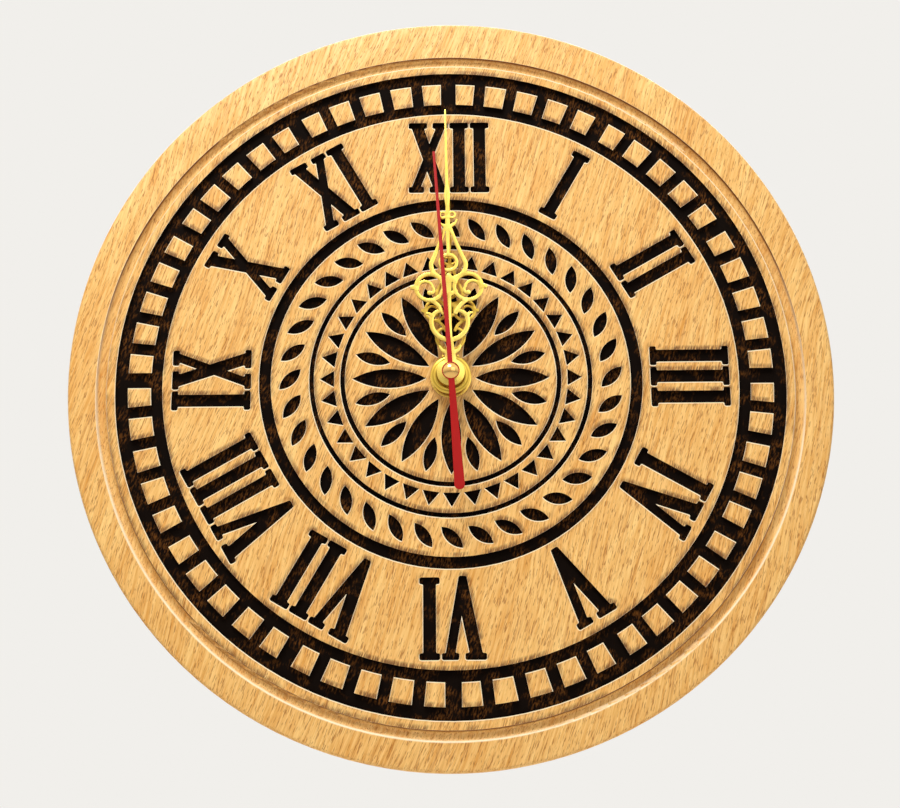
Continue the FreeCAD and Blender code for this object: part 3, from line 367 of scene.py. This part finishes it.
def metal(name, colour, dull, roughness, lines):
    """Bare or plated metal: its colour drifts a little and rolling or polishing lines run along Z."""
    material, tree, shader = finish(name, Metallic=1.0, Roughness=roughness)
    place = add(tree, "ShaderNodeTexCoord").outputs["Object"]
    cloud = add(tree, "ShaderNodeTexNoise", {"Vector": place, "Scale": 1 / metal_cloud, "Detail": 3.0})
    mixed = add(tree, "ShaderNodeMix", {0: cloud, 6: linear(dull), 7: linear(colour)}, data_type="RGBA")
    tree.links.new(mixed.outputs[2], shader.inputs["Base Color"])
    brushed = grain_noise(tree, place, *lines)
    spread = add(tree, "ShaderNodeMapRange",
                 {"Value": brushed, "To Min": roughness * ridge_share, "To Max": roughness * groove_share})
    tree.links.new(spread.outputs[0], shader.inputs["Roughness"])
    bump = add(tree, "ShaderNodeBump", {"Height": brushed, "Distance": line_depth, "Strength": 0.4})
    tree.links.new(bump.outputs[0], shader.inputs["Normal"])
    return material


def turned_gilt(name, colour, dull, roughness):
    """Gilt plate with fine rings left by the lathe round the hands' axis, and a band of painted shade in each
    ring.
    """
    material, tree, shader = finish(name, Metallic=1.0, Roughness=roughness)
    place = add(tree, "ShaderNodeTexCoord").outputs["Object"]
    radius = off_axis(tree, add(tree, "ShaderNodeSeparateXYZ", {"Vector": place}))
    turns = add(tree, "ShaderNodeMath", {0: radius, 1: math.tau / ring_pitch}, operation="MULTIPLY")
    wave = add(tree, "ShaderNodeMath", {0: turns}, operation="SINE")
    near = add(tree, "ShaderNodeMath", {0: radius, 1: hub_reach}, operation="LESS_THAN")
    rings = add(tree, "ShaderNodeMath", {0: wave, 1: near}, operation="MULTIPLY")
    cloud = add(tree, "ShaderNodeTexNoise", {"Vector": place, "Scale": 1 / metal_cloud, "Detail": 3.0})
    mixed = add(tree, "ShaderNodeMix", {0: cloud, 6: linear(dull), 7: linear(colour)}, data_type="RGBA")
    # Painted shade: each lathe ring darkened in a band
    ring_shade = add(tree, "ShaderNodeMapRange",
                 {"Value": rings, "From Min": 0.2, "From Max": 1.0, "To Max": 0.6})
    shaded = add(tree, "ShaderNodeMix",
                 {0: ring_shade, 6: mixed.outputs[2], 7: linear("#8F6E1E")}, data_type="RGBA")
    tree.links.new(shaded.outputs[2], shader.inputs["Base Color"])
    bump = add(tree, "ShaderNodeBump", {"Height": rings, "Distance": ring_depth, "Strength": 0.8})
    tree.links.new(bump.outputs[0], shader.inputs["Normal"])
    return material


def cell_jacket():
    """Foil jacket that stops short of the bare steel of its positive end."""
    material, tree, shader = finish("shrunk_foil_jacket", Roughness=0.3, IOR=1.5)
    place = add(tree, "ShaderNodeTexCoord").outputs["Object"]
    axes = add(tree, "ShaderNodeSeparateXYZ", {"Vector": place})
    bare = add(tree, "ShaderNodeMath", {0: axes.outputs["X"], 1: jacket_seam}, operation="GREATER_THAN")
    foil = add(tree, "ShaderNodeMix", {0: bare, 6: linear("#35604F"), 7: linear("#C9C9C2")}, data_type="RGBA")
    tree.links.new(foil.outputs[2], shader.inputs["Base Color"])
    crinkle = add(tree, "ShaderNodeTexNoise", {"Vector": place, "Scale": 1 / crinkle_size, "Detail": 2.0})
    bump = add(tree, "ShaderNodeBump", {"Height": crinkle, "Distance": crinkle_depth, "Strength": 0.4})
    tree.links.new(bump.outputs[0], shader.inputs["Normal"])
    return material


def make_finishes():
    """Every finish of the CAD pieces, under the name of its slot in the record."""
    return {
        "beech": beech(),
        "case_plastic": moulded("moulded_black_abs", "#17171A", "#232327", 0.5),
        "cover_plastic": moulded("moulded_charcoal_abs", "#1D1D20", "#2A2A2E", 0.55),
        "knob_plastic": moulded("moulded_red_acetal", "#A11F1B", "#B32A22", 0.35),
        "turned_brass": metal("turned_brass", "#E9C766", "#D3A94A", 0.25, turned_lines),
        "black_rubber": moulded("cut_rubber_sheet", "#161616", "#232322", 0.85),
        "gilt_hand": metal("bright_gilt_brass", "#F5DA78", "#DDBA4C", 0.24, hand_lines),
        "gilt_cap": metal("polished_gilt_dome", "#F2CC80", "#C88F48", 0.08, cap_lines),
        "red_enamel": moulded("sprayed_red_enamel", "#A00B08", "#AB120C", 0.5, shine=0.2),
        "white_acetal": moulded("moulded_white_acetal", "#EEECE4", "#E2DFD4", 0.4),
        "ferrite": moulded("sintered_ferrite", "#2C2D30", "#3A3B3F", 0.6),
        "spring_steel": metal("nickel_plated_steel", "#D0CFC8", "#B4B3AC", 0.3, strip_lines),
        "enamelled_copper": metal("enamelled_copper_wire", "#C4652E", "#9A4620", 0.3, wire_lines),
        "phenolic_board": moulded("pressed_phenolic_board", "#8C6A3C", "#7A5930", 0.5),
        "black_epoxy": moulded("cast_black_epoxy", "#101012", "#1B1B1E", 0.2),
        "cell_jacket": cell_jacket(),
        "zinc_steel": metal("zinc_plated_steel", "#C3C8CC", "#9FA6AB", 0.38, plate_lines),
    }


def new_piece(name, data):
    """Puts a mesh, lamp or camera into the scene."""
    piece = bpy.data.objects.new(name, data)
    bpy.context.scene.collection.objects.link(piece)
    return piece


def solid_copy(node, name):
    """A copy of a CAD piece's mesh with its doubles merged, in a new object."""
    mesh = nodes[node].data.copy()
    work = bmesh.new()
    work.from_mesh(mesh)
    bmesh.ops.remove_doubles(work, verts=work.verts, dist=weld)
    work.to_mesh(mesh)
    work.free()
    mesh.name = name
    return new_piece(name, mesh)


def coat(mesh, *materials):
    """Gives a mesh these materials in place of its own."""
    mesh.materials.clear()
    for material in materials:
        mesh.materials.append(material)


def baked(piece):
    """Turns the piece's modifiers into plain mesh."""
    graph = bpy.context.evaluated_depsgraph_get()
    mesh = bpy.data.meshes.new_from_object(piece.evaluated_get(graph))
    piece.modifiers.clear()
    piece.data = mesh
    mesh.name = piece.name
    return mesh


def eased(piece, width):
    """Breaks the sharp edges of a piece by a small bevel."""
    bevel = piece.modifiers.new("broken_edges", "BEVEL")
    bevel.width = width
    bevel.segments = edge_segments
    bevel.limit_method = "ANGLE"
    bevel.angle_limit = edge_turn
    bevel.use_clamp_overlap = True
    return baked(piece)


def shade(mesh, sharp):
    """Smooth faces with sharp edges kept where the surface turns by more than the angle."""
    work = bmesh.new()
    work.from_mesh(mesh)
    for part in work.faces:
        part.smooth = True
    for side in work.edges:
        side.smooth = len(side.link_faces) == 2 and side.calc_face_angle(0.0) < sharp
    work.to_mesh(mesh)
    work.free()


def stand_for(piece, node, body):
    """Shows the piece in place of a CAD node, on the node's body."""
    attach(piece, body)
    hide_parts(node)


def dress(finishes):
    """Gives every CAD piece the finish that its slot in the record names."""
    for piece in nodes.values():
        for slot in piece.material_slots:
            slot.material = finishes[slot.material.name.split(".")[0]]


def carved_board(finishes):
    """The board, with the sunk floors and walls of its carving in the dark stain."""
    piece = solid_copy("dial_board", "carved_board")
    mesh = piece.data
    coat(mesh, finishes["beech"], stained_floor())
    for part in mesh.polygons:
        middle = part.center
        sunk = face_y + skin < middle.y < face_y + carve_depth + skin
        part.material_index = int(sunk and math.hypot(middle.x, middle.z) < carve_reach)
    shade(mesh, board_sharp)
    stand_for(piece, "dial_board", "clock_body")


def eased_piece(node, body, material, width):
    """A copy of a CAD piece whose edges are rolled over or broken."""
    piece = solid_copy(node, "eased_" + node)
    mesh = eased(piece, width)
    coat(mesh, material)
    shade(mesh, rolled_sharp)
    stand_for(piece, node, body)


def eased_pieces(finishes):
    """The stamped, sprayed and moulded pieces whose edges catch the light."""
    for node, body, slot, width in (
            ("minute_hand", "minute_train", "gilt_hand", hand_edge),
            ("second_hand", "second_train", "red_enamel", enamel_edge),
            ("brass_washer", "clock_body", "turned_brass", hand_edge),
            ("setting_knob", "motion_train", "knob_plastic", hand_edge),
            ("hanger_plate", "clock_body", "zinc_steel", hand_edge)):
        eased_piece(node, body, finishes[slot], width)
    # The hour hand's gilt is a darker copy of the minute hand's: painted shade, as the hour hand lies in
    # shade behind it
    shaded_gilt = turned_gilt("gilt_brass_painted_shade", "#E2C25A", "#BE9838", 0.34)
    eased_piece("hour_hand", "hour_train", shaded_gilt, hand_edge)


def crossed_screws():
    """The hanger's countersunk screws, with a cross recess in each head."""
    low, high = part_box("hanger_screws")
    head_radius = (high.z - low.z) / 2
    work = bmesh.new()
    for x in (low.x + head_radius, high.x - head_radius):
        for length, width in ((cross_length, cross_width), (cross_width, cross_length)):
            place = Matrix.Translation((x, high.y, (low.z + high.z) / 2))
            size = Matrix.Diagonal((length, 2 * cross_depth, width, 1.0))
            bmesh.ops.create_cube(work, size=1.0, matrix=place @ size)
    mesh = bpy.data.meshes.new("cross_punch")
    work.to_mesh(mesh)
    work.free()
    punch = new_piece("cross_punch", mesh)

    piece = solid_copy("hanger_screws", "crossed_screws")
    coat(piece.data, metal("bright_zinc_plate", "#E3E5E1", "#B9BDB8", 0.25, screw_lines))
    recess = piece.modifiers.new("cross_recess", "BOOLEAN")
    recess.operation = "DIFFERENCE"
    recess.solver = "EXACT"
    recess.use_self = True
    recess.object = punch
    shade(baked(piece), small_sharp)
    bpy.data.objects.remove(punch)
    stand_for(piece, "hanger_screws", "clock_body")


def winding_tree():
    """Node tree that winds a wire in a helix round a core that lies along X."""
    tree = bpy.data.node_groups.new("wound_coil", "GeometryNodeTree")
    tree.interface.new_socket("Geometry", in_out="OUTPUT", socket_type="NodeSocketGeometry")
    for name, kind in (
            ("Turns", "NodeSocketFloat"),
            ("Radius", "NodeSocketFloat"),
            ("Length", "NodeSocketFloat"),
            ("Wire Radius", "NodeSocketFloat"),
            ("Centre", "NodeSocketVector"),
            ("Finish", "NodeSocketMaterial")):
        tree.interface.new_socket(name, in_out="INPUT", socket_type=kind)
    given = add(tree, "NodeGroupInput").outputs

    # The wire: a helix of one radius, as long as the winding less one wire
    turn_radius = add(tree, "ShaderNodeMath",
                      {0: given["Radius"], 1: given["Wire Radius"]}, operation="SUBTRACT")
    run = add(tree, "ShaderNodeMath",
              {0: given["Wire Radius"], 1: -2.0, 2: given["Length"]}, operation="MULTIPLY_ADD")
    spiral = add(tree, "GeometryNodeCurveSpiral",
                 {"Resolution": spiral_steps, "Rotations": given["Turns"], "Start Radius": turn_radius,
                  "End Radius": turn_radius, "Height": run})
    drop = add(tree, "ShaderNodeMath", {0: run, 1: -0.5}, operation="MULTIPLY")
    lowered = add(tree, "GeometryNodeTransform",
                  {"Geometry": spiral, "Translation": add(tree, "ShaderNodeCombineXYZ", {"Z": drop})})
    profile = add(tree, "GeometryNodeCurvePrimitiveCircle",
                  {"Resolution": wire_sides, "Radius": given["Wire Radius"]})
    wire = add(tree, "GeometryNodeCurveToMesh",
               {"Curve": lowered, "Profile Curve": profile.outputs["Curve"], "Fill Caps": True})

    # The turns beneath it, as one cylinder
    core = add(tree, "GeometryNodeMeshCylinder",
               {"Vertices": core_sides, "Radius": turn_radius, "Depth": run})
    both = add(tree, "GeometryNodeJoinGeometry", {"Geometry": core.outputs["Mesh"]})
    tree.links.new(wire.outputs["Mesh"], both.inputs["Geometry"])
    laid = add(tree, "GeometryNodeTransform",
               {"Geometry": both, "Translation": given["Centre"], "Rotation": (0.0, math.radians(90), 0.0)})
    real = add(tree, "GeometryNodeRealizeInstances", {"Geometry": laid})
    enamelled = add(tree, "GeometryNodeSetMaterial", {"Geometry": real, "Material": given["Finish"]})
    add(tree, "NodeGroupOutput", {"Geometry": enamelled})
    return tree


def wound_coil(finishes):
    """The coil's fine wire, turn by turn."""
    low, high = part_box("coil_winding")
    length = high.x - low.x
    values = {
        "Turns": round(length / wire_pitch),
        "Radius": (high.z - low.z) / 2,
        "Length": length,
        "Wire Radius": wire_pitch / 2,
        "Centre": (low + high) / 2,
        "Finish": finishes["enamelled_copper"],
    }
    piece = new_piece("coil_turns", bpy.data.meshes.new("coil_turns"))
    winding = piece.modifiers.new("winding", "NODES")
    winding.node_group = winding_tree()
    for socket in winding.node_group.interface.items_tree:
        if socket.in_out == "INPUT":
            winding[socket.identifier] = values[socket.name]
    shade(baked(piece), small_sharp)
    stand_for(piece, "coil_winding", "clock_body")


def surroundings():
    """A plain pale backdrop, a level of light that falls everywhere, and a room for gloss to mirror."""
    world = bpy.data.worlds.new("studio")
    bpy.context.scene.world = world
    world.use_nodes = True
    tree = world.node_tree
    tree.nodes.clear()
    ray = add(tree, "ShaderNodeLightPath")
    seen = add(tree, "ShaderNodeMath",
               {0: ray.outputs["Is Camera Ray"], 1: ray.outputs["Is Glossy Ray"]}, operation="MAXIMUM")
    shown = add(tree, "ShaderNodeMath", {0: seen, 1: ray.outputs["Is Transmission Ray"]}, operation="MAXIMUM")
    ambient = add(tree, "ShaderNodeBackground", {"Color": linear("#FFFFFF"), "Strength": ambient_strength})
    backdrop = add(tree, "ShaderNodeBackground", {"Color": linear("#F1EFEB"), "Strength": 1.0})
    way = add(tree, "ShaderNodeSeparateXYZ", {"Vector": add(tree, "ShaderNodeTexCoord").outputs["Generated"]})
    height = add(tree, "ShaderNodeMapRange",
                 {"Value": way.outputs["Z"], "From Min": -0.45, "From Max": 0.5,
                  "To Min": mirrored_low, "To Max": mirrored_high})
    mirrored = add(tree, "ShaderNodeBackground", {"Color": linear("#FFFBF2"), "Strength": height})
    unlit = add(tree, "ShaderNodeMixShader", {0: shown, 1: ambient, 2: backdrop})
    mixed = add(tree, "ShaderNodeMixShader", {0: ray.outputs["Is Glossy Ray"], 1: unlit, 2: mirrored})
    add(tree, "ShaderNodeOutputWorld", {"Surface": mixed})


def place_lamps():
    """Square lamps, each turned to the dial."""
    for name, place, width, watts in lamps:
        lamp = bpy.data.lights.new(name, "AREA")
        lamp.size = width
        lamp.energy = watts
        holder = new_piece(name, lamp)
        holder.location = place
        holder.rotation_euler = Vector(place).to_track_quat("Z", "Y").to_euler()


def lay_floor():
    """A pale matt floor, part of the stage."""
    mesh = bpy.data.meshes.new("floor")
    corners = [(x * floor_half, y * floor_half, floor_height)
               for x, y in ((-1, -1), (1, -1), (1, 1), (-1, 1))]
    mesh.from_pydata(corners, [], [(0, 1, 2, 3)])
    coat(mesh, finish("pale_floor", Base_Color=linear("#E9E6E0"), Roughness=0.9)[0])
    floor = new_piece("floor", mesh)


def place_camera():
    """The camera that took the picture, as fitted to the dial's rings."""
    holder = new_piece("camera", bpy.data.cameras.new("camera"))
    holder.data.lens = lens
    holder.data.sensor_width = sensor
    aim = Vector((aim_x, face_y, aim_z))
    back = Vector((0.0, -math.cos(camera_rise), math.sin(camera_rise)))
    holder.location = aim + back * camera_distance
    holder.rotation_euler = back.to_track_quat("Z", "Y").to_euler()
    holder.rotation_euler.rotate_axis("Z", camera_roll)
    bpy.context.scene.camera = holder


place_camera()
surroundings()
place_lamps()
lay_floor()
finishes = make_finishes()
dress(finishes)
carved_board(finishes)
eased_pieces(finishes)
crossed_screws()
wound_coil(finishes)
bpy.context.scene.view_settings.view_transform = "Standard"
